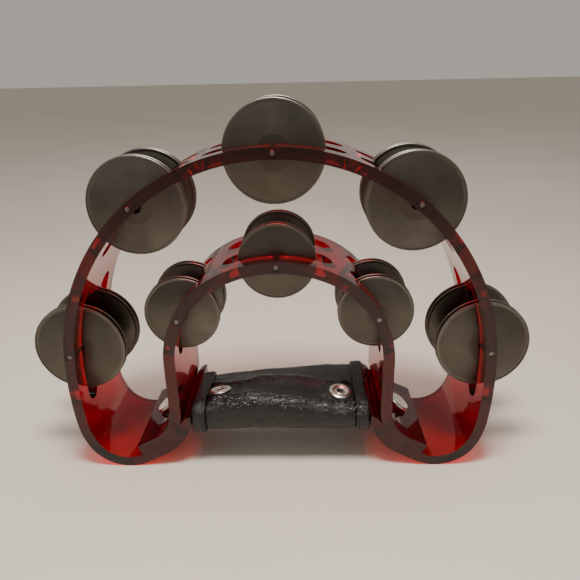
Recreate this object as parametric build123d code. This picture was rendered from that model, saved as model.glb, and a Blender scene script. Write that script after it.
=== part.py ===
from build123d import *
import math
import os

os.makedirs("parts", exist_ok=True)

# Half-moon hand tambourine. Millimetres, +Z up, standing on its two rounded
# bottom corners. X runs across the instrument, Y from front edge to rear edge.
# The origin is midway across, midway through the depth, at ground level.

# ---------------------------------------------------------------- acrylic bands
BAND_DEPTH = 62.0          # width of both strips, front edge to rear edge
OUTER_T = 6.0              # outer strip thickness
INNER_T = 6.5              # inner strip thickness
CEMENT_GAP = 0.05          # film between the inner foot and the outer strip

LEG_HALF = 64.3            # outer face of the straight inner legs
LEG_BEND_Z = 37.0          # height where the legs start to flare outward
FOOT_BEND_R = 20.0         # inside radius of that flare
FOOT_SLOPE = 27.0          # final slope of the foot, degrees below level
FOOT_RUN = 12.0            # straight run at the end of the foot

ARCH_SPRING_Z = 69.5       # height where the hand arch starts to curve
ARCH_SIDE_R = 58.0         # outside radius of the arch shoulders
ARCH_TOP_R = 74.0          # outside radius of the flatter arch top

TAIL_TURN = 70.0           # bend of the outer strip into the handle, degrees
TAIL_R = 7.5               # centre-line radius of that bend
TAIL_DEPTH = 28.0          # the tails are narrowed where the handle covers them
TAIL_NOTCH_X = 52.4        # how far out from the middle that narrowing reaches
BUTT_GAP = 0.5             # each tail stops this far short of the middle

CORNER_R = 25.7            # outside radius of the bottom corners
CORNER_END = 62.5          # heading where the corner hands over to the knee
KNEE_R = 45.9              # easier bend between the corner and the side
KNEE_END = 83.4
SIDE_LOW_R = 213.0
SIDE_LOW_END = 95.7
SIDE_HIGH_R = 127.4
SIDE_HIGH_END = 129.0

# -------------------------------------------------------------------- stations
ROW_Y = 13.5               # front and rear slot rows, either side of mid-depth
SLOT_W = 13.0
PIN_R = 1.5
PIN_LEN = 61.0
PIN_FIT = 0.02             # radial clearance of a pin in the acrylic

BIG_R = 26.5               # outer jingles
SMALL_R = 21.5             # inner jingles
SHEET_T = 0.7
JINGLE_HOLE_R = 3.5
HANG_GAP = 0.3             # top of the hole to top of the pin, at rest
PAIR_GAP = 2.6             # between the two rims of a pair, at rest
DOME_H = 2.6

# distance of each pin along the strip from the crown, slot length, jingle size
OUTER_STATIONS = [
    ("top", 0, 0.0, 74.0),
    ("upper", 1, 79.5, 72.0),
    ("lower", 1, 175.8, 72.0),
]
INNER_STATIONS = [
    ("inner_top", 0, 0.0, 60.0),
    ("inner_side", 1, 66.0, 52.0),
]

# ---------------------------------------------------------------------- rivets
RIVET_SLOPE = 38.0         # where round the foot bend the rivet stands
RIVET_HEAD_R = 7.25
RIVET_HEAD_T = 1.7
RIVET_SHANK_R = 2.5
RIVET_PROUD = 2.4          # underside of the head above the bend
BURR_R = 5.0
BURR_T = 1.0

# ---------------------------------------------------------------------- handle
HANDLE_HALF = 52.0         # half length over the hems
HEM_W = 8.0
COVER_FRONT = -30.6        # front face of the leather
COVER_REAR = 26.0          # rear face of the leather
COVER_BOTTOM = 23.0
COVER_TOP = 39.0
COVER_ROUND = 7.5
LEATHER_T = 1.2
SKIN_GAP = 0.05
FLAP_FRONT = -24.0
FLAP_REAR = 2.0
FLAP_T = 1.3
SNAP_R = 6.65
SNAP_HOLE_R = 2.05
SNAP_T = 1.3
SEAT_R = 6.1               # leather puckered up under a snap ring
# middle of each snap seat, then its lean about X and its roll about Y
SNAPS = [((35.4, -15.3, 41.0), 7, 6), ((-36.6, -13.8, 41.4), -14, -7)]
THREAD_R = 0.3


# ------------------------------------------------------------ strips and bends
def turn_point(point, heading, step):
    """Carry a centre-line point and heading over one straight run or bend."""
    kind, size, angle = step
    a = math.radians(heading)
    if kind == "run":
        x = point[0] + size * math.cos(a)
        z = point[1] + size * math.sin(a)
        return (x, z), heading
    side = 1 if angle > 0 else -1
    cx = point[0] - side * size * math.sin(a)
    cz = point[1] + side * size * math.cos(a)
    b = math.radians(heading + angle)
    x = cx + side * size * math.sin(b)
    z = cz - side * size * math.cos(b)
    return (x, z), heading + angle


def shifted(point, heading, offset):
    """Point offset to the left of the heading."""
    a = math.radians(heading)
    return (point[0] - offset * math.sin(a), point[1] + offset * math.cos(a))


def step_length(step):
    kind, size, angle = step
    if kind == "run":
        return size
    return size * math.radians(abs(angle))


def part_step(step, length):
    """The first stretch of a step, of the given length."""
    kind, size, angle = step
    if kind == "run":
        return (kind, length, 0)
    return (kind, size, math.copysign(math.degrees(length / size), angle))


def edge_between(point, heading, step, offset):
    """One side edge of a strip over one step."""
    end, end_heading = turn_point(point, heading, step)
    first = shifted(point, heading, offset)
    last = shifted(end, end_heading, offset)
    if step[0] == "run":
        return Line(first, last)
    mid, mid_heading = turn_point(point, heading, part_step(step, step_length(step) / 2))
    return ThreePointArc(first, shifted(mid, mid_heading, offset), last)


def strip_section(start, heading, steps, thickness):
    """Closed side view of a bent strip of constant thickness."""
    left = []
    right = []
    point = start
    for step in steps:
        left.append(edge_between(point, heading, step, thickness / 2))
        right.append(edge_between(point, heading, step, -thickness / 2))
        point, heading = turn_point(point, heading, step)
    caps = [
        Line(left[0] @ 0, right[0] @ 0),
        Line(left[-1] @ 1, right[-1] @ 1),
    ]
    return make_face(left + right + caps)


def bent_strip(start, heading, steps, thickness, depth):
    face = Plane.XZ * strip_section(start, heading, steps, thickness)
    return extrude(face, amount=depth / 2, both=True)


def place_along(start, heading, steps, distance):
    """Centre-line point and heading at a distance from the start of a strip."""
    point = start
    left = distance
    for step in steps:
        length = step_length(step)
        if left <= length:
            return turn_point(point, heading, part_step(step, left))
        left -= length
        point, heading = turn_point(point, heading, step)
    return point, heading


def both_sides(solid):
    return solid + mirror(solid, about=Plane.YZ)


# --------------------------------------------------------------- strip layouts
flare_x = LEG_HALF + FOOT_BEND_R
slope = math.radians(FOOT_SLOPE)
tail = math.radians(TAIL_TURN)
under_r = FOOT_BEND_R + INNER_T + CEMENT_GAP + OUTER_T / 2

# the outer strip follows the flare one thickness further out
tail_end_x = flare_x - under_r * math.sin(tail) - TAIL_R * math.sin(tail)
tail_z = LEG_BEND_Z - under_r * math.cos(tail) + TAIL_R * (1 - math.cos(tail))
under_low = LEG_BEND_Z - (under_r + OUTER_T / 2) * math.cos(slope)
slope_run = (under_low + CORNER_R * math.cos(slope) - CORNER_R) / math.sin(slope)

outer_start = (tail_end_x, tail_z)
outer_steps = [
    ("bend", TAIL_R, -TAIL_TURN),
    ("bend", under_r, TAIL_TURN - FOOT_SLOPE),
    ("run", slope_run, 0),
    ("bend", CORNER_R - OUTER_T / 2, FOOT_SLOPE + CORNER_END),
    ("bend", KNEE_R - OUTER_T / 2, KNEE_END - CORNER_END),
    ("bend", SIDE_LOW_R - OUTER_T / 2, SIDE_LOW_END - KNEE_END),
    ("bend", SIDE_HIGH_R - OUTER_T / 2, SIDE_HIGH_END - SIDE_LOW_END),
]
shoulder = outer_start
shoulder_heading = 0
for outer_step in outer_steps:
    shoulder, shoulder_heading = turn_point(shoulder, shoulder_heading, outer_step)

# the crown bend closes the strip on the centre line
crown_r = shoulder[0] / math.sin(math.radians(shoulder_heading))
outer_steps.append(("bend", crown_r, 180 - SIDE_HIGH_END))
outer_len = sum(step_length(s) for s in outer_steps)

arch_turn = math.degrees(math.acos((LEG_HALF - ARCH_SIDE_R) / (ARCH_TOP_R - ARCH_SIDE_R)))
arch_top = ARCH_SPRING_Z + ARCH_TOP_R
arch_top -= (ARCH_TOP_R - ARCH_SIDE_R) * math.sin(math.radians(arch_turn))
inner_start = (0, arch_top - INNER_T / 2)
inner_steps = [
    ("bend", ARCH_TOP_R - INNER_T / 2, arch_turn - 90),
    ("bend", ARCH_SIDE_R - INNER_T / 2, -arch_turn),
    ("run", ARCH_SPRING_Z - LEG_BEND_Z, 0),
    ("bend", FOOT_BEND_R + INNER_T / 2, 90 - FOOT_SLOPE),
    ("run", FOOT_RUN, 0),
]


# ------------------------------------------------------------------- stations
def station_places():
    """Name, pin centre, strip heading, slot length and jingle radius of all eight."""
    places = []
    for name, paired, distance, slot in OUTER_STATIONS:
        point, heading = place_along(outer_start, 0, outer_steps, outer_len - distance)
        places.append((name, paired, point, heading, slot, BIG_R, "outer"))
    for name, paired, distance, slot in INNER_STATIONS:
        point, heading = place_along(inner_start, 0, inner_steps, distance)
        places.append((name, paired, point, heading, slot, SMALL_R, "inner"))
    full = []
    for name, paired, (x, z), heading, slot, radius, band in places:
        if not paired:
            full.append((name, (0, z), 0, slot, radius, band))
            continue
        full.append((name + "_left", (-x, z), -heading, slot, radius, band))
        full.append((name + "_right", (x, z), heading, slot, radius, band))
    return full


def station_cuts(point, heading, slot):
    """Two long slots through the strip and the cross hole for the pin."""
    x, z = point
    lie = Plane(origin=(x, 0, z), x_dir=Vector(1, 0, 0).rotate(Axis.Y, -heading),
                z_dir=Vector(0, 0, 1).rotate(Axis.Y, -heading))
    cuts = []
    for row in (-ROW_Y, ROW_Y):
        outline = Pos(0, row) * SlotOverall(slot, SLOT_W)
        cuts.append(extrude(lie * outline, amount=12, both=True))
    hole = Pos(x, 0, z) * Rot(90, 0, 0) * Cylinder(PIN_R + PIN_FIT, BAND_DEPTH + 4)
    cuts.append(hole)
    return cuts


stations = station_places()

# ---------------------------------------------------------------- rivet places
rivet_tilt = math.radians(RIVET_SLOPE)
rivet_x = flare_x - FOOT_BEND_R * math.sin(rivet_tilt)
rivet_z = LEG_BEND_Z - FOOT_BEND_R * math.cos(rivet_tilt)


def on_rivet_axis(side, solid):
    """Stand a piece on the bend's surface, along the rivet's axis."""
    return Pos(side * rivet_x, 0, rivet_z) * Rot(0, side * RIVET_SLOPE, 0) * solid


def rivet_hole(side):
    depth = 2 * (INNER_T + OUTER_T)
    return on_rivet_axis(side, Pos(0, 0, -depth / 4) * Cylinder(RIVET_SHANK_R + 0.03, depth))


# ------------------------------------------------------------------ outer band
outer = bent_strip(outer_start, 0, outer_steps, OUTER_T, BAND_DEPTH)
tail_len = tail_end_x - BUTT_GAP
tail_bar = Pos(BUTT_GAP + tail_len / 2, 0, tail_z) * Box(tail_len, TAIL_DEPTH, OUTER_T)
notch_deep = (BAND_DEPTH - TAIL_DEPTH) / 2
notch = Pos(TAIL_NOTCH_X / 2, (TAIL_DEPTH + notch_deep) / 2 + 0.5, tail_z)
notch = notch * Box(TAIL_NOTCH_X, notch_deep + 1, 2 * OUTER_T)
outer = outer + tail_bar - notch - mirror(notch, about=Plane.XZ)
outer_band = both_sides(outer)

inner = bent_strip(inner_start, 0, inner_steps, INNER_T, BAND_DEPTH)
inner_band = both_sides(inner)

for name, point, heading, slot, radius, band in stations:
    for cut in station_cuts(point, heading, slot):
        if band == "outer":
            outer_band = outer_band - cut
        else:
            inner_band = inner_band - cut

for side in (-1, 1):
    outer_band = outer_band - rivet_hole(side)
    inner_band = inner_band - rivet_hole(side)

nodes = {"outer_band": outer_band, "inner_band": inner_band}


# -------------------------------------------------------------------- jingles
def jingle(radius):
    """Dished disc: narrow rolled rim, broad shallow cone, flat round the hole. Bulges to -Y."""
    dome_r = radius * 0.92
    crest_r = radius * 0.35
    lip_r = 0.75
    t = SHEET_T
    side_mid_r = (dome_r + crest_r) / 2
    side_mid_y = DOME_H * 0.60
    front = [
        Line((radius - lip_r, -t), (dome_r, -t)),
        ThreePointArc((dome_r, -t), (side_mid_r, -t - side_mid_y), (crest_r, -t - DOME_H)),
        Line((crest_r, -t - DOME_H), (JINGLE_HOLE_R, -t - DOME_H)),
        Line((JINGLE_HOLE_R, -t - DOME_H), (JINGLE_HOLE_R, -DOME_H)),
        Line((JINGLE_HOLE_R, -DOME_H), (crest_r, -DOME_H)),
        ThreePointArc((crest_r, -DOME_H), (side_mid_r - 0.35, -side_mid_y), (dome_r - 0.1, 0)),
        Line((dome_r - 0.1, 0), (radius - lip_r, 0)),
        ThreePointArc((radius - lip_r, 0), (radius, -t / 2 - 0.25), (radius - lip_r, -t - 0.5)),
        Line((radius - lip_r, -t - 0.5), (radius - lip_r, -t)),
    ]
    return revolve(make_face(front), axis=Axis.Y)


for name, (x, z), heading, slot, radius, band in stations:
    pin = Cylinder(PIN_R, PIN_LEN)
    pin = chamfer(pin.edges().filter_by(GeomType.CIRCLE), 0.3)
    nodes["pin_" + name] = Pos(x, 0, z) * Rot(90, 0, 0) * pin
    disc = jingle(radius)
    hang = z - (JINGLE_HOLE_R - PIN_R - HANG_GAP)
    number = 1
    for row in (-ROW_Y, ROW_Y):
        nodes[f"jingle_{name}_{number}"] = Pos(x, row - PAIR_GAP / 2, hang) * disc
        facing = Pos(x, row + PAIR_GAP / 2, hang) * Rot(0, 0, 180) * disc
        nodes[f"jingle_{name}_{number + 1}"] = facing
        number += 2

# --------------------------------------------------------------------- rivets
stack = INNER_T + CEMENT_GAP + OUTER_T
head = Pos(0, 0, RIVET_PROUD + RIVET_HEAD_T / 2) * Cylinder(RIVET_HEAD_R, RIVET_HEAD_T)
head = fillet(head.edges().group_by(Axis.Z)[-1], 1.1)
head = head - Pos(0, 0, RIVET_PROUD + RIVET_HEAD_T) * Sphere(0.9)
shank_len = RIVET_PROUD + stack + BURR_T + 0.3
shank = Pos(0, 0, RIVET_PROUD - shank_len / 2) * Cylinder(RIVET_SHANK_R, shank_len)
rivet = head + shank
washer_t = RIVET_PROUD - 0.6
washer = Cylinder(4.2, washer_t) - Cylinder(RIVET_SHANK_R + 0.03, washer_t + 1)
washer = Pos(0, 0, RIVET_PROUD - 0.05 - washer_t / 2) * washer
burr = Cylinder(BURR_R, BURR_T) - Cylinder(RIVET_SHANK_R + 0.03, BURR_T + 1)
burr = Pos(0, 0, -stack - 0.05 - BURR_T / 2) * burr
nodes["rivets"] = Compound(children=[on_rivet_axis(s, rivet) for s in (-1, 1)])
nodes["rivet_washers"] = Compound(children=[on_rivet_axis(s, washer) for s in (-1, 1)])
nodes["rivet_burrs"] = Compound(children=[on_rivet_axis(s, burr) for s in (-1, 1)])


# --------------------------------------------------------------------- handle
def handle_block(x_low, x_high, inset, round_r):
    """Rounded block with the section of the covered handle, inset all round."""
    deep = COVER_REAR - COVER_FRONT - 2 * inset
    tall = COVER_TOP - COVER_BOTTOM - 2 * inset
    section = RectangleRounded(deep, tall, round_r)
    mid_z = (COVER_TOP + COVER_BOTTOM) / 2
    mid_y = (COVER_REAR + COVER_FRONT) / 2
    place = Plane(origin=(x_low, mid_y, mid_z), x_dir=(0, 1, 0), z_dir=(1, 0, 0))
    return extrude(place * section, amount=x_high - x_low)


cover_half = HANDLE_HALF - HEM_W - SKIN_GAP
inside = LEATHER_T
cover = handle_block(-cover_half, cover_half, 0, COVER_ROUND)
cover = cover - handle_block(-60, 60, inside, COVER_ROUND - inside)
nodes["handle_cover"] = cover

core_gap = 0.3
core_hole = Pos(0, 0, tail_z) * Box(120, TAIL_DEPTH + 2 * core_gap, OUTER_T + 2 * core_gap)
foam_in = inside + SKIN_GAP
foam = handle_block(-cover_half, cover_half, foam_in, COVER_ROUND - foam_in)
nodes["handle_foam"] = foam - core_hole

for side, name in ((-1, "handle_hem_left"), (1, "handle_hem_right")):
    low = min(side * HANDLE_HALF, side * (HANDLE_HALF - HEM_W))
    hem = handle_block(low, low + HEM_W, -0.2, COVER_ROUND)
    nodes[name] = hem - handle_block(-60, 60, 2.0, COVER_ROUND - 2.0)

flap_len = 2 * cover_half - 1
flap_mid = (FLAP_FRONT + FLAP_REAR) / 2
flap_z = COVER_TOP + SKIN_GAP
flap = Pos(0, flap_mid, flap_z + FLAP_T / 2) * Box(flap_len, FLAP_REAR - FLAP_FRONT, FLAP_T)
flap = fillet(flap.edges().filter_by(Axis.X).group_by(Axis.Z)[-1], 0.6)
above_cover = Pos(0, 0, flap_z + 10) * Box(200, 200, 20)


def snap_ring():
    """Domed ring with a dished middle and a rolled eyelet, sitting on its own seat."""
    outline = [
        Line((SNAP_HOLE_R, 0), (SNAP_R - 0.35, 0)),
        ThreePointArc((SNAP_R - 0.35, 0), (SNAP_R, 0.35), (SNAP_R - 0.25, 0.75)),
        ThreePointArc((SNAP_R - 0.25, 0.75), (5.2, SNAP_T), (3.9, 1.0)),
        Line((3.9, 1.0), (2.95, 0.62)),
        ThreePointArc((2.95, 0.62), (2.5, 0.95), (SNAP_HOLE_R, 0.62)),
        Line((SNAP_HOLE_R, 0.62), (SNAP_HOLE_R, 0)),
    ]
    return revolve(Plane.XZ * make_face(outline), axis=Axis.Z)


caps = []
studs = []
for middle, lean, roll in SNAPS:
    seat_place = Pos(*middle) * Rot(lean, roll, 0)
    seat = seat_place * Pos(0, 0, -3) * Cylinder(SEAT_R, 6)
    room = seat_place * Pos(0, 0, 4) * Cylinder(SNAP_R + 0.3, 8)
    flap = flap + (seat & above_cover) - room
    well = seat_place * Pos(0, 0, -1.5) * Cylinder(3.0, 4)
    flap = flap - well
    stud = seat_place * Pos(0, 0, -SKIN_GAP - 0.8) * Cylinder(2.9, 1.2)
    studs.append(stud & above_cover)
    caps.append(seat_place * Pos(0, 0, SKIN_GAP) * snap_ring())

nodes["closure_flap"] = flap
nodes["snap_caps"] = Compound(children=caps)
nodes["snap_studs"] = Compound(children=studs)


# ------------------------------------------------- loose ends of sewing thread
def loose_thread(points):
    path = Spline(*points)
    profile = Plane(origin=path @ 0, z_dir=path % 0) * Circle(THREAD_R)
    return sweep(profile, path=path)


knot_x = HANDLE_HALF + 0.9
knot_z = 36.2
threads = [
    loose_thread([(knot_x, 10.0, knot_z), (knot_x + 1.6, 9.2, 38.4), (knot_x + 3.4, 9.0, 37.2)]),
    loose_thread([(knot_x, 11.2, knot_z), (knot_x + 1.4, 12.4, 37.8), (knot_x + 2.0, 13.6, 40.0)]),
    loose_thread([(knot_x, 8.8, knot_z), (knot_x + 1.8, 7.6, 36.6), (knot_x + 3.8, 7.0, 35.2)]),
]
nodes["thread_ends"] = Compound(children=threads)

for node, solid in nodes.items():
    solid.label = node
    export_step(solid, f"parts/{node}.step")

print(len(nodes), "nodes; crown radius", round(crown_r, 2), "tail height", round(tail_z, 2))
for name, (x, z), heading, slot, radius, band in stations:
    print(name, round(x, 2), round(z, 2), round(heading, 1))
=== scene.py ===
import math

import bmesh
import bpy
from mathutils import Matrix, Vector, noise


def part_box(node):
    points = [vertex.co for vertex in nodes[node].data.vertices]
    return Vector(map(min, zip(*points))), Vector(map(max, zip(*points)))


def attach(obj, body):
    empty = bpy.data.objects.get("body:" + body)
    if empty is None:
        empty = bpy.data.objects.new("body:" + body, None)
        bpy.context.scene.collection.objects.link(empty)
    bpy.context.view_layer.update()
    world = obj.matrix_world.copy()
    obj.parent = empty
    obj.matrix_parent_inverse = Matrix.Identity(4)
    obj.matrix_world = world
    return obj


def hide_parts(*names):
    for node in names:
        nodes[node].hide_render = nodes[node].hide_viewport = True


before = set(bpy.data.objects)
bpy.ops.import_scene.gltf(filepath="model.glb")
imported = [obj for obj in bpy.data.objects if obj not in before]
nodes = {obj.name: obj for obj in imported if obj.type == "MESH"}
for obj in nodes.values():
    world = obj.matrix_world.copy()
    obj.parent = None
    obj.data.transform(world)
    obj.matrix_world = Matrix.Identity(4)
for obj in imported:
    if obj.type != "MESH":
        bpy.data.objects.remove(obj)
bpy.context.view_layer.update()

MM = 0.001                 # metres in a millimetre, which the handle's tables use


# ------------------------------------------------------------- node-tree tools
class Shader:
    """A material and short ways to add and join its nodes."""

    def __init__(self, name):
        self.mat = bpy.data.materials.new(name)
        self.mat.use_nodes = True
        self.tree = self.mat.node_tree
        self.bsdf = self.tree.nodes["Principled BSDF"]
        self.out = self.tree.nodes["Material Output"]

    def add(self, kind, **values):
        node = self.tree.nodes.new(kind)
        for key, value in values.items():
            if hasattr(node, key):
                setattr(node, key, value)
            else:
                node.inputs[key.replace("_", " ").title()].default_value = value
        return node

    def join(self, source, target, src=0, dst=0):
        # a Mix node has one output for each type of data
        if source.bl_idname == "ShaderNodeMix":
            src = {"RGBA": 2, "VECTOR": 1}.get(source.data_type, 0)
        self.tree.links.new(source.outputs[src], target.inputs[dst])

    def set(self, **values):
        for key, value in values.items():
            label = "IOR" if key == "ior" else key.replace("_", " ").title()
            label = label.replace("Ior Level", "IOR Level")
            self.bsdf.inputs[label].default_value = value

    def coords(self, kind="Object", scale=(1, 1, 1)):
        where = self.add("ShaderNodeTexCoord")
        mapping = self.add("ShaderNodeMapping")
        mapping.inputs["Scale"].default_value = scale
        self.tree.links.new(where.outputs[kind], mapping.inputs[0])
        return mapping

    def noise(self, coords, scale, detail=4.0, rough=0.55, distortion=0.0):
        tex = self.add("ShaderNodeTexNoise")
        tex.inputs["Scale"].default_value = scale
        tex.inputs["Detail"].default_value = detail
        tex.inputs["Roughness"].default_value = rough
        tex.inputs["Distortion"].default_value = distortion
        self.join(coords, tex, 0, "Vector")
        return tex

    def ramp(self, source, stops, src=0):
        """Colour ramp; each stop is a place from 0 to 1 and a colour."""
        node = self.add("ShaderNodeValToRGB")
        ramp = node.color_ramp
        while len(ramp.elements) < len(stops):
            ramp.elements.new(0.5)
        for element, (place, value) in zip(ramp.elements, stops):
            element.position = place
            element.color = value if len(value) == 4 else (*value, 1)
        self.join(source, node, src, 0)
        return node

    def math(self, operation, a, b=None, src_a=0, src_b=0):
        """Math node; a and b are nodes or plain numbers."""
        node = self.add("ShaderNodeMath")
        node.operation = operation
        for slot, value, src in ((0, a, src_a), (1, b, src_b)):
            if value is None:
                continue
            if isinstance(value, (int, float)):
                node.inputs[slot].default_value = value
            else:
                self.join(value, node, src, slot)
        return node

    def mix(self, factor, a, b, blend="MIX"):
        """Colour mix; each argument is a node or a plain value."""
        node = self.add("ShaderNodeMix")
        node.data_type = "RGBA"
        node.blend_type = blend
        for slot, value in ((0, factor), (6, a), (7, b)):    # 6 and 7 are its colour inputs
            if isinstance(value, (int, float, tuple)):
                node.inputs[slot].default_value = value
            else:
                self.join(value, node, 0, slot)
        return node

    def bump(self, height, distance, strength=1.0, after=None):
        node = self.add("ShaderNodeBump")
        node.inputs["Distance"].default_value = distance
        node.inputs["Strength"].default_value = strength
        self.join(height, node, 0, "Height")
        if after is not None:
            self.join(after, node, 0, "Normal")
        return node

    def colour(self, node, src=0):
        self.join(node, self.bsdf, src, "Base Color")

    def roughness(self, node, src=0):
        self.join(node, self.bsdf, src, "Roughness")

    def normal(self, node):
        self.join(node, self.bsdf, 0, "Normal")


def grey(value):
    return (value, value, value, 1)


# ------------------------------------------------------------------- materials
def red_acrylic():
    """See-through red sheet, darker the further one looks through it."""
    s = Shader("red_acrylic")
    s.set(transmission_weight=1.0, ior=1.49, specular_ior_level=0.55)
    where = s.coords()
    cloud = s.noise(where, 22, 3)
    tint = s.ramp(cloud, [(0.3, (0.40, 0.0012, 0.022)), (0.7, (0.50, 0.0022, 0.032))])
    s.colour(tint)
    # the sawn front and rear edges are polished less than the faces
    facing = s.add("ShaderNodeTexCoord")
    split = s.add("ShaderNodeSeparateXYZ")
    s.join(facing, split, "Normal", 0)
    sideways = s.math("ABSOLUTE", split, None, 1)
    edge = s.math("GREATER_THAN", sideways, 0.8)
    smear = s.noise(where, 60, 6, 0.65, 0.6)
    polished = s.ramp(smear, [(0.35, grey(0.02)), (0.75, grey(0.12))])
    dressed = s.ramp(smear, [(0.3, grey(0.10)), (0.7, grey(0.24))])
    s.roughness(s.mix(edge, polished, dressed))
    pits = s.noise(where, 380, 2)
    fine = s.ramp(pits, [(0.66, grey(0)), (0.74, grey(1))])
    wave = s.noise(where, 14, 2)
    first = s.bump(wave, 0.0012, 0.3)
    second = s.bump(fine, 0.00008, 0.35, first)
    saw = s.noise(where, 900, 2)
    s.normal(s.bump(s.math("MULTIPLY", saw, edge), 0.00006, 0.4, second))
    deep = s.add("ShaderNodeVolumeAbsorption")
    deep.inputs["Color"].default_value = (0.80, 0.0, 0.10, 1)
    deep.inputs["Density"].default_value = 130.0
    s.tree.links.new(deep.outputs[0], s.out.inputs["Volume"])
    # lamps shine through it, tinted, so that what is behind isn't in black shadow
    path = s.add("ShaderNodeLightPath")
    through = s.add("ShaderNodeBsdfTransparent")
    through.inputs["Color"].default_value = (0.62, 0.05, 0.07, 1)
    either = s.add("ShaderNodeMixShader")
    s.tree.links.new(path.outputs["Is Shadow Ray"], either.inputs[0])
    s.join(s.bsdf, either, 0, 1)
    s.join(through, either, 0, 2)
    s.tree.links.new(either.outputs[0], s.out.inputs["Surface"])
    return s.mat


def jingle_metal():
    """Tarnished spun steel; radius is 0 at a jingle's middle and 1 at its rim."""
    s = Shader("jingle_steel")
    s.set(metallic=1.0)
    local = s.add("ShaderNodeTexCoord")
    centre = s.add("ShaderNodeVectorMath")
    centre.operation = "SUBTRACT"
    centre.inputs[1].default_value = (0.5, 0.5, 0.5)
    s.join(local, centre, "Generated", 0)
    flat = s.add("ShaderNodeVectorMath")
    flat.operation = "MULTIPLY"
    flat.inputs[1].default_value = (1, 0, 1)
    s.join(centre, flat)
    length = s.add("ShaderNodeVectorMath")
    length.operation = "LENGTH"
    s.join(flat, length)
    radius = s.math("MULTIPLY", length, 2.0, 1)
    where = s.coords()
    stain = s.noise(where, 38, 5, 0.6, 0.4)
    blotch = s.noise(where, 9, 3)
    base = s.ramp(stain, [(0.25, (0.082, 0.075, 0.066)), (0.75, (0.142, 0.131, 0.115))])
    aged = s.ramp(blotch, [(0.35, (0.80, 0.77, 0.72)), (0.65, (1.0, 1.0, 1.0))])
    body = s.mix(1.0, base, aged, "MULTIPLY")
    worn = s.ramp(radius, [(0.90, grey(0)), (0.965, grey(0.55)), (1.0, grey(0.8))])
    s.colour(s.mix(worn, body, (0.20, 0.185, 0.162, 1)))
    rings = s.math("MULTIPLY", radius, 160.0)       # about 25 lathe rings
    spun = s.math("SINE", rings)
    mottle = s.noise(where, 260, 3)
    haze = s.noise(where, 55, 4, 0.6)
    s.roughness(s.ramp(haze, [(0.3, grey(0.30)), (0.7, grey(0.46))]))
    lathe = s.bump(spun, 0.000012, 0.35)
    grit = s.bump(mottle, 0.00003, 0.35, lathe)
    dents = s.bump(s.noise(where, 45, 2), 0.0004, 0.25, grit)
    s.normal(dents)
    return s.mat


def plain_metal(name, low, high, rough_low, rough_high, scale, pit):
    """Metal that varies between two colours and two roughnesses, with pits of a given depth."""
    s = Shader(name)
    s.set(metallic=1.0)
    where = s.coords()
    stain = s.noise(where, scale, 4)
    s.colour(s.ramp(stain, [(0.3, low), (0.7, high)]))
    smear = s.noise(where, scale * 1.7, 5)
    s.roughness(s.ramp(smear, [(0.3, grey(rough_low)), (0.7, grey(rough_high))]))
    s.normal(s.bump(s.noise(where, scale * 9, 3), pit, 0.4))
    return s.mat


def leather():
    """Black leather with a fine pebble grain, about 1 mm from pebble to pebble."""
    s = Shader("black_leather")
    s.set(specular_ior_level=0.5)
    where = s.coords()
    cells = s.add("ShaderNodeTexVoronoi")
    cells.feature = "DISTANCE_TO_EDGE"
    cells.inputs["Scale"].default_value = 1150
    warp = s.noise(where, 300, 2)
    bent = s.add("ShaderNodeMix")
    bent.data_type = "VECTOR"
    bent.inputs[0].default_value = 0.0012
    s.tree.links.new(where.outputs[0], bent.inputs[4])
    s.tree.links.new(warp.outputs["Color"], bent.inputs[5])
    s.tree.links.new(bent.outputs[1], cells.inputs["Vector"])
    pebble = s.ramp(cells, [(0.0, grey(0)), (0.22, grey(1))])
    soft = s.noise(where, 500, 4, 0.6)
    broad = s.noise(where, 45, 3)
    colour = s.ramp(broad, [(0.3, (0.0022, 0.0022, 0.0023)), (0.75, (0.0050, 0.0047, 0.0044))])
    s.colour(s.mix(pebble, (0.004, 0.004, 0.004, 1), colour))
    s.roughness(s.ramp(s.noise(where, 120, 4), [(0.3, grey(0.19)), (0.7, grey(0.30))]))
    first = s.bump(s.noise(where, 90, 3), 0.0004, 0.3)
    second = s.bump(soft, 0.00020, 0.8, first)
    s.normal(s.bump(pebble, 0.00012, 0.9, second))
    return s.mat


def thread():
    """Twisted black sewing thread."""
    s = Shader("black_thread")
    where = s.coords()
    fuzz = s.noise(where, 900, 3)
    s.colour(s.ramp(fuzz, [(0.3, grey(0.006)), (0.7, grey(0.02))]))
    s.set(roughness=0.7)
    twist = s.add("ShaderNodeTexWave")
    twist.inputs["Scale"].default_value = 900
    s.join(where, twist)
    s.normal(s.bump(twist, 0.0001, 0.6))
    return s.mat


def nylon():
    """Clear washers with a painted red tint, which stands for the red light of the acrylic that they
    sit on.
    """
    s = Shader("nylon")
    s.set(transmission_weight=0.6, ior=1.5)
    where = s.coords()
    # painted light: this red is not the washers' own colour but stands for the acrylic's red light
    # seen through and in them
    s.colour(s.ramp(s.noise(where, 120, 3), [(0.3, (0.30, 0.02, 0.03)), (0.7, (0.38, 0.04, 0.05))]))
    s.roughness(s.ramp(s.noise(where, 300, 3), [(0.3, grey(0.3)), (0.7, grey(0.5))]))
    return s.mat


ACRYLIC = red_acrylic()
JINGLE = jingle_metal()
PIN = plain_metal("pin_steel", (0.16, 0.15, 0.14), (0.26, 0.25, 0.23), 0.28, 0.45, 220, 0.00003)
RIVET = plain_metal("rivet_nickel", (0.62, 0.60, 0.56), (0.82, 0.80, 0.76), 0.16, 0.32, 140, 0.00002)
SNAP = plain_metal("snap_nickel", (0.60, 0.57, 0.50), (0.80, 0.77, 0.70), 0.24, 0.40, 180, 0.00002)
LEATHER = leather()
THREAD = thread()
NYLON = nylon()


def dress(name, material):
    mesh = nodes[name].data
    mesh.materials.clear()
    mesh.materials.append(material)


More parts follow.
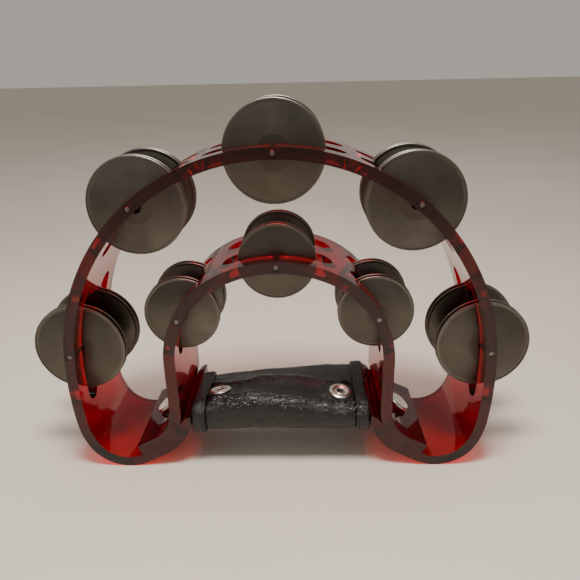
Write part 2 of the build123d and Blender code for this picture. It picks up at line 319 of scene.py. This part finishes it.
for name in nodes:
    if name.startswith("jingle_"):
        dress(name, JINGLE)
    elif name.startswith("pin_"):
        dress(name, PIN)
for name, material in (
    ("outer_band", ACRYLIC), ("inner_band", ACRYLIC), ("rivets", RIVET),
    ("rivet_burrs", RIVET), ("rivet_washers", NYLON), ("snap_caps", SNAP),
    ("snap_studs", SNAP), ("thread_ends", THREAD),
):
    dress(name, material)


# ------------------------------------------------------------------ mesh tools
def mesh_piece(name, verts, faces, material, level=1):
    """A piece in millimetres, smooth shaded, lightly subdivided."""
    mesh = bpy.data.meshes.new(name)
    mesh.from_pydata([tuple(c * MM for c in v) for v in verts], [], faces)
    bm = bmesh.new()
    bm.from_mesh(mesh)
    bmesh.ops.recalc_face_normals(bm, faces=bm.faces)
    bm.to_mesh(mesh)
    bm.free()
    for face in mesh.polygons:
        face.use_smooth = True
    mesh.materials.append(material)
    piece = bpy.data.objects.new(name, mesh)
    bpy.context.scene.collection.objects.link(piece)
    if level:
        sub = piece.modifiers.new("smooth", "SUBSURF")
        sub.levels = level
        sub.render_levels = level
    return piece


def hand_over(piece, body, slot, *replaced):
    """Let a piece ride on a body and stand for CAD nodes, which it hides; slot is not used."""
    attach(piece, body)
    if replaced:
        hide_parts(*replaced)
    return piece


def ring_faces(rows, count, close_ends):
    """Quads between successive closed rings, with optional end caps."""
    faces = []
    for i in range(rows - 1):
        for j in range(count):
            k = (j + 1) % count
            faces.append((i * count + j, i * count + k, (i + 1) * count + k, (i + 1) * count + j))
    if close_ends:
        faces.append(tuple(reversed(range(count))))
        faces.append(tuple((rows - 1) * count + j for j in range(count)))
    return faces


def bell(x, centre, width):
    """One at the centre, falling smoothly to nothing beyond about twice the width."""
    return math.exp(-((x - centre) / width) ** 2)


def wrinkle(x, y, z, scale, seed):
    """Smooth noise between -1 and 1, with waves about as long as scale."""
    return noise.noise(Vector((x / scale + seed, y / scale, z / scale)))


def between(four, u):
    """Catmull-Rom point a share u of the way from the second to the third of four points."""
    return tuple(
        0.5 * (2 * b + (c - a) * u + (2 * a - 5 * b + 4 * c - d) * u * u
               + (3 * b - a - 3 * c + d) * u ** 3)
        for a, b, c, d in zip(*four)
    )


def open_curve(points, count):
    """Smooth open curve through points."""
    padded = [points[0], *points, points[-1]]
    runs = len(points) - 1
    out = []
    for i in range(count):
        t = i / (count - 1) * runs
        k = min(int(t), runs - 1)
        out.append(between(padded[k:k + 4], t - k))
    return out


def closed_curve(points, count):
    """Smooth closed curve through points."""
    size = len(points)
    out = []
    for i in range(count):
        t = i / count * size
        k = int(t)
        out.append(between([points[(k + d) % size] for d in (-1, 0, 1, 2)], t - k))
    return out


def outward(ring, j):
    """Unit normal of a closed (y, z) curve at point j, pointing away from its inside."""
    (y0, z0), (y1, z1) = ring[j - 1], ring[(j + 1) % len(ring)]
    way = Vector((-(z1 - z0), y1 - y0))
    return way.normalized() if way.length else Vector((0, 1))


# ---------------------------------------------------------------------- handle
COVER_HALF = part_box("handle_cover")[1].x / MM
HEM_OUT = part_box("handle_hem_right")[1].x / MM
LEATHER_T = 1.35
FRONT = -29.3              # padding face behind the flap
RING = 96                  # points round the grip
TOP_Z = 36.0               # the top of the grip lies above this height
# middle of each snap seat, then its lean about X and its roll about Y
SNAPS = [((35.4, -15.3, 41.0), 7, 6), ((-36.6, -13.8, 41.4), -14, -7)]
HOLD_END = 11.5            # a snap presses the leather flat out to about here
HOLD_FADE = 4.3            # and lets go of it over this distance
TUCK = 6.2                 # how far the cover runs on inside each hem
HEM_DROP = {-1: 1.6, 1: 0.3}   # the left hem hangs lower than the right one

# the grip is a little twisted, so each of these runs unevenly from left to right
CREST = [(-52, 39.8), (-44, 40.4), (-38, 41.4), (-30, 44.0), (-17, 46.0),
         (-4, 45.4), (8, 43.6), (21, 41.4), (34, 39.9), (44, 39.3), (52, 39.1)]
RIDGE = [(-44, 40.3), (-34, 40.5), (-27, 41.2), (-14, 44.7), (-1, 45.2),
         (12, 44.6), (25, 42.2), (34, 41.2), (44, 40.5)]
REAR_TOP = [(-52, 35.9), (-44, 36.2), (-28, 36.9), (-7, 38.0),
            (12, 39.1), (32, 40.0), (52, 40.6)]
REAR_EDGE = [(-52, 19.5), (-28, 21.5), (-7, 23.5), (12, 24.8), (32, 25.4), (52, 25.6)]
BOTTOM = [(-52, 23.6), (-44, 24.0), (-17, 25.4), (0, 25.0), (23, 24.6), (44, 24.3), (52, 24.2)]


def spread(table, x):
    """Smooth value of a table of (x, value) pairs."""
    if x <= table[0][0]:
        return table[0][1]
    for (x0, v0), (x1, v1) in zip(table, table[1:]):
        if x <= x1:
            t = (x - x0) / (x1 - x0)
            t = 0.5 * t + 0.5 * t * t * (3 - 2 * t)
            return v0 + (v1 - v0) * t
    return table[-1][1]


def grip_line(x, grow=0.0, low=0.0):
    """Control points (y, z) of the closed grip section, from the bottom front upwards."""
    crest = spread(CREST, x) - LEATHER_T + grow
    top = spread(REAR_TOP, x) + 0.6 * grow
    bottom = spread(BOTTOM, x) - grow - low
    rear = spread(REAR_EDGE, x) + 0.6 * grow
    front = FRONT - grow
    slope = top - crest
    return [
        (front + 2.4, bottom + 1.0), (front + 0.4, bottom + 4.4), (front, (bottom + crest) / 2),
        (front + 0.7, crest - 4.8), (front + 3.4, crest - 1.3), (front + 8.0, crest),
        (-12.5, crest + 0.25 * slope), (0.0, crest + 0.62 * slope),
        (rear - 11.0, top + 0.5), (rear - 5.5, top - 0.1), (rear - 1.3, top - 2.9),
        (rear, (bottom + top) / 2), (rear - 1.2, bottom + 2.4), (rear - 6.0, bottom + 0.2),
        (0.0, bottom), (front + 9.0, bottom - 0.1),
    ]


def cover_piece():
    """Padded leather body of the grip, softly creased."""
    rows = []
    steps = 60
    reach = COVER_HALF + TUCK
    for i in range(steps + 1):
        x = -reach + 2 * reach * i / steps
        ring = closed_curve(grip_line(x), RING)
        tuck = max(0.0, (abs(x) - COVER_HALF) / TUCK)
        row = []
        for j, (y, z) in enumerate(ring):
            way = outward(ring, j)
            soft = 0.55 * wrinkle(x, y, z, 17, 3.0) + 0.22 * wrinkle(x, y * 2.0, z, 6, 9.0)
            pull = bell(abs(x), COVER_HALF, 6)
            gather = 0.3 * pull * math.sin(0.9 * y + 0.5 * z + 2 * wrinkle(x, y, z, 9, 5))
            sag = 0.5 * bell(abs(x), COVER_HALF, 5)
            shift = soft + gather - sag - 0.7 * tuck
            row.append((x, y + way.x * shift, z + way.y * shift))
        rows.append(row)
    verts = [v for row in rows for v in row]
    return mesh_piece("handle_pad", verts, ring_faces(len(rows), RING, True), LEATHER, 1)


def flap_line(x):
    """Outer face of the closure flap at x, from under the front roll to its free edge."""
    crest = spread(CREST, x)
    ridge = spread(RIDGE, x)
    bottom = spread(BOTTOM, x) - LEATHER_T
    front = FRONT - LEATHER_T
    valley = min(crest, ridge) - 0.25 - 1.2 * bell(x, -4, 22)
    return [
        (front + 10.0, bottom + 0.6), (front + 5.5, bottom + 0.1), (front + 2.2, bottom + 1.2),
        (front + 0.3, bottom + 4.6), (front, (bottom + crest) / 2), (front + 0.7, crest - 4.6),
        (front + 3.6, crest - 1.2), (front + 7.6, crest), (front + 11.5, crest - 0.55),
        (-13.5, valley), (-9.0, valley + 0.25 * (ridge - valley)), (-5.6, ridge - 0.7),
        (-3.0, ridge), (-0.4, ridge - 0.5), (1.2, ridge - 2.2), (0.2, ridge - 3.6),
    ]


def seat_height(snap, x, y):
    """Height of a snap's tilted seat plane at (x, y), and how firmly it holds the leather."""
    (sx, sy, sz), lean, roll = snap
    way = Matrix.Rotation(math.radians(lean), 3, "X") @ Matrix.Rotation(math.radians(roll), 3, "Y")
    up_way = way @ Vector((0, 0, 1))
    height = sz - (up_way.x * (x - sx) + up_way.y * (y - sy)) / up_way.z
    far = math.hypot(x - sx, y - sy)
    hold = min(1.0, max(0.0, (HOLD_END - far) / HOLD_FADE))
    return height, hold * hold * (3 - 2 * hold)


def flap_piece():
    """The leather that wraps over the front roll and snaps down on top."""
    across = 96
    along = 88
    half = COVER_HALF - 0.2
    turned_in = 10             # rows of the free edge that curl under
    verts = []
    for i in range(across + 1):
        x = -half + 2 * half * i / across
        line = open_curve(flap_line(x), along)
        for j, (y, z) in enumerate(line):
            y0, z0 = line[max(j - 1, 0)]
            y1, z1 = line[min(j + 1, along - 1)]
            way = Vector((-(z1 - z0), y1 - y0)).normalized()
            edge = min(1.0, j / 8, (along - 1 - j) / 8)     # both ends stay smooth
            shift = 0.5 * wrinkle(x, y, z, 14, 21.0) + 0.2 * wrinkle(x, y * 1.7, z * 1.7, 5, 4.0)
            pull = bell(abs(x), COVER_HALF, 5)
            shift += 0.3 * pull * math.sin(0.85 * y + 0.7 * z) - 0.45 * bell(abs(x), COVER_HALF, 4)
            for snap in SNAPS:
                (sx, sy, _), _, _ = snap
                far = math.hypot(x - sx, y - sy)
                rays = math.sin(7 * math.atan2(y - sy, x - sx) + sx)
                shift += 0.42 * rays * bell(far, 12.5, 4.0) * (z > TOP_Z)
            shift *= edge
            ny, nz = y + way.x * shift, z + way.y * shift
            if nz > TOP_Z + 0.5 and j < along - turned_in:
                for snap in SNAPS:
                    height, hold = seat_height(snap, x, ny)
                    nz += (height - 0.05 - nz) * hold
            verts.append((x, ny, nz))
    faces = []
    for i in range(across):
        for j in range(along - 1):
            a = i * along + j
            faces.append((a, a + along, a + along + 1, a + 1))
    piece = mesh_piece("handle_flap", verts, faces, LEATHER, 0)
    shell = piece.modifiers.new("thick", "SOLIDIFY")
    shell.thickness = LEATHER_T * MM
    shell.offset = -1
    soft = piece.modifiers.new("smooth", "SUBSURF")
    soft.levels = 1
    soft.render_levels = 1
    return piece


def hem_ring(side, x, lift):
    """Closed hem section at distance x from the middle, raised by lift."""
    ring = closed_curve(grip_line(side * x, LEATHER_T, HEM_DROP[side]), RING)
    out = []
    for j, (y, z) in enumerate(ring):
        way = outward(ring, j)
        rough = 0.4 * wrinkle(x + side * 40, y, z, 8, 13 + side) + 0.2 * wrinkle(x, y, z, 3.5, 2)
        pleat = 0.45 * bell(y, 14, 5) * math.sin(1.5 * y + 0.6 * x) * (z > 34)
        raised = lift + (rough + pleat) * (lift > -0.3)
        out.append((y + way.x * raised, z + way.y * raised))
    return out


def hem_piece(side, name):
    """Folded end band: leather turned in over itself with a rounded lip."""
    a, b = COVER_HALF, HEM_OUT
    profile = [
        (a + 0.1, -1.3), (a + 0.05, -0.5), (a + 0.45, 0.05), (a + 1.2, 0.3), (a + 2.2, 0.1),
        (a + 3.4, 0.35), (a + 5.4, 0.4), (b - 1.1, 0.25), (b - 0.2, -0.35), (b, -1.2),
        (b - 0.5, -2.0), (b - 1.8, -2.3), (a + 2.0, -2.2),
    ]
    verts = []
    for x, lift in profile:
        verts += [(side * x, y, z) for y, z in hem_ring(side, x, lift)]
    count = len(profile)
    faces = []
    for i in range(count):
        for j in range(RING):
            k = (j + 1) % RING
            m = (i + 1) % count
            faces.append((i * RING + j, i * RING + k, m * RING + k, m * RING + j))
    return mesh_piece(name, verts, faces, LEATHER, 1)


def stitch_piece(side, name):
    """A row of short stitches round the hem, sunk a little at both ends."""
    x = COVER_HALF + 1.9
    ring = hem_ring(side, x, 0.22)
    thread_r, stitch, sunk = 0.24, 1.5, 0.25
    sides = 8
    spans = 8
    verts = []
    faces = []
    for j in range(0, RING, 2):
        y, z = ring[j]
        way = outward(ring, j)
        out = Vector((0, way.x, way.y))
        run = Vector((0, -way.y, way.x))
        start = len(verts)
        for k in range(spans + 1):
            t = k / spans
            swell = thread_r * math.sin(math.pi * min(0.97, max(0.03, t))) ** 0.45
            middle = Vector((side * x, y, z)) + run * (stitch * t - stitch / 2)
            middle -= out * sunk * (2 * t - 1) ** 4
            for m in range(sides):
                b = 2 * math.pi * m / sides
                verts.append(tuple(middle + out * swell * math.cos(b)
                                   + Vector((swell * math.sin(b), 0, 0))))
        for k in range(spans):
            for m in range(sides):
                n = (m + 1) % sides
                low_ring, high_ring = start + k * sides, start + (k + 1) * sides
                faces.append((low_ring + m, low_ring + n, high_ring + n, high_ring + m))
        faces.append(tuple(start + m for m in reversed(range(sides))))
        faces.append(tuple(start + spans * sides + m for m in range(sides)))
    return mesh_piece(name, verts, faces, THREAD, 0)


pad = cover_piece()
hand_over(pad, "frame", "black_leather", "handle_cover", "handle_foam")
flap = flap_piece()
hand_over(flap, "frame", "black_leather", "closure_flap")
for side, word in ((-1, "left"), (1, "right")):
    hem = hem_piece(side, "hem_" + word)
    hand_over(hem, "frame", "black_leather", "handle_hem_" + word)
    hand_over(stitch_piece(side, "stitches_" + word), "frame", "black_thread")


# ------------------------------------------------------------ floor and lights
def floor():
    """Plain pale floor that reaches past the horizon of the view."""
    mesh = bpy.data.meshes.new("floor")
    r = 12.0
    mesh.from_pydata([(-r, -r, 0), (r, -r, 0), (r, r, 0), (-r, r, 0)], [], [(0, 1, 2, 3)])
    s = Shader("floor_pale")
    where = s.coords()
    s.colour(s.ramp(s.noise(where, 3, 3), [(0.3, (0.62, 0.55, 0.48)), (0.7, (0.67, 0.60, 0.52))]))
    s.set(roughness=0.9)
    mesh.materials.append(s.mat)
    plane = bpy.data.objects.new("floor", mesh)
    plane.location.z = -0.0002     # just below the part's lowest point
    bpy.context.scene.collection.objects.link(plane)


def area_light(name, place, aim, size, power, colour):
    """Rectangular lamp at a place, turned towards aim."""
    lamp = bpy.data.lights.new(name, "AREA")
    lamp.shape = "RECTANGLE"
    lamp.size, lamp.size_y = size
    lamp.energy = power
    lamp.color = colour
    obj = bpy.data.objects.new(name, lamp)
    obj.location = place
    obj.rotation_euler = (Vector(aim) - Vector(place)).to_track_quat("-Z", "Y").to_euler()
    bpy.context.scene.collection.objects.link(obj)


floor()
area_light("key", (0.0, -0.15, 0.62), (0, 0.0, 0.03), (0.18, 0.14), 4.6, (1.0, 0.96, 0.91))
area_light("overhead", (0.0, 0.35, 1.40), (0, 0.02, 0.05), (1.6, 1.2), 7, (1.0, 0.97, 0.93))
area_light("fill_left", (-1.3, -0.7, 0.9), (0, 0, 0.1), (0.9, 0.9), 1.5, (1.0, 0.98, 0.95))

world = bpy.data.worlds.new("studio")
bpy.context.scene.world = world
world.use_nodes = True
backdrop = world.node_tree.nodes["Background"]
backdrop.inputs[0].default_value = (0.82, 0.77, 0.70, 1)
backdrop.inputs[1].default_value = 0.52

# ---------------------------------------------------------------------- camera
camera = bpy.data.cameras.new("camera")
camera.lens = 33.82
camera.sensor_width = 36.0
camera.clip_start = 0.01
# it stands close to the front, looks down on the part and leans a little
eye = Vector((0.0143, -0.2960, 0.2197))
pitch, yaw, roll = (math.radians(a) for a in (21.87, -1.54, -1.24))
level = math.cos(pitch)
ahead = Vector((math.sin(yaw) * level, math.cos(yaw) * level, -math.sin(pitch)))
across = Vector((math.cos(yaw), -math.sin(yaw), 0))
up = across.cross(ahead)
side_way = across * math.cos(roll) + up * math.sin(roll)
top_way = up * math.cos(roll) - across * math.sin(roll)
turn = Matrix((side_way, top_way, -ahead)).transposed()
viewer = bpy.data.objects.new("camera", camera)
viewer.matrix_world = Matrix.Translation(eye) @ turn.to_4x4()
bpy.context.scene.collection.objects.link(viewer)
bpy.context.scene.camera = viewer
